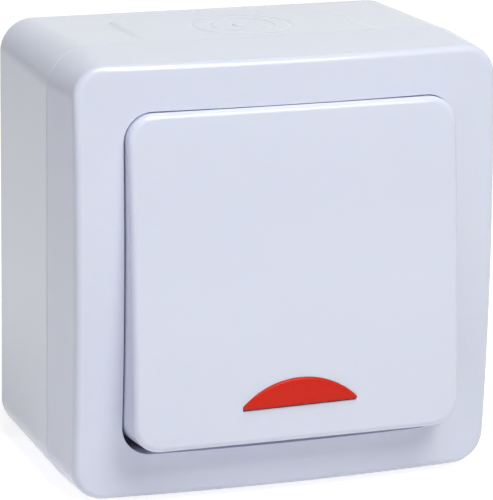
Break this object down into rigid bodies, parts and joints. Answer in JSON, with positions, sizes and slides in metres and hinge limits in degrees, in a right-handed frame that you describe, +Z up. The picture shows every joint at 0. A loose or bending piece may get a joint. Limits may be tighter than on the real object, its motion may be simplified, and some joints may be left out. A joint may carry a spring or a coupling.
{
  "type": "surface mounted light switch",
  "caption": "Surface mounted rocker light switch: square moulded box and cover, one large crowned rocker with a red indicator lens, knock-out cable entries and slotted wall holes.",
  "frame": {"origin": "centre of the back face, which lies against the wall", "axes": "+Z up the wall, +X to the right of someone facing the switch, +Y into the wall, so the face looks towards -Y"},
  "size_m": [0.068, 0.0467, 0.0684],
  "materials": {
    "white_moulding": "glossy moulded white with a fine polish",
    "red_lens": "glossy translucent red",
    "seal_rubber": "matt",
    "pale_plastic": "satin moulded",
    "grey_plastic": "satin moulded",
    "contact_brass": "stamped",
    "silver_tip": "fine turned",
    "screw_steel": "zinc plated",
    "lamp_glass": "clear",
    "resistor_body": "lacquered"
  },
  "bodies": {
    "housing": {"back_box": "white_moulding", "box_seal": "seal_rubber", "cover_frame": "white_moulding", "cover_screws": "screw_steel", "bearing_frame": "pale_plastic", "mechanism_seal": "seal_rubber", "mechanism_base": "grey_plastic", "mechanism_screws": "screw_steel", "common_terminal": "contact_brass", "fixed_contact": "contact_brass", "fixed_contact_tip": "silver_tip", "line_clamp": "contact_brass", "load_clamp": "contact_brass", "terminal_screws": "screw_steel", "neon_lamp": "lamp_glass", "lamp_holder": "pale_plastic", "lamp_leads": "silver_tip", "lamp_resistor": "resistor_body"},
    "rocker": {"rocker_cap": "white_moulding", "indicator_lens": "red_lens", "cradle": "pale_plastic", "plunger": "grey_plastic", "plunger_spring": "screw_steel"},
    "seesaw": {"seesaw_contact": "contact_brass", "moving_contact_tip": "silver_tip"}
  },
  "joints": [
    {"name": "rocker_pivot", "type": "hinge", "parent": "housing", "child": "rocker", "pos_m": [0, -0.0331, 0], "axis": [1, 0, 0], "range_deg": [0, 9.3]},
    {"name": "seesaw_pivot", "type": "hinge", "parent": "housing", "child": "seesaw", "pos_m": [0, -0.0146, 0], "axis": [1, 0, 0], "range_deg": [-13.95, 0]}
  ],
  "couplings": [
    {"joint": "seesaw_pivot", "follows": "rocker_pivot", "ratio": -1.5}
  ]
}
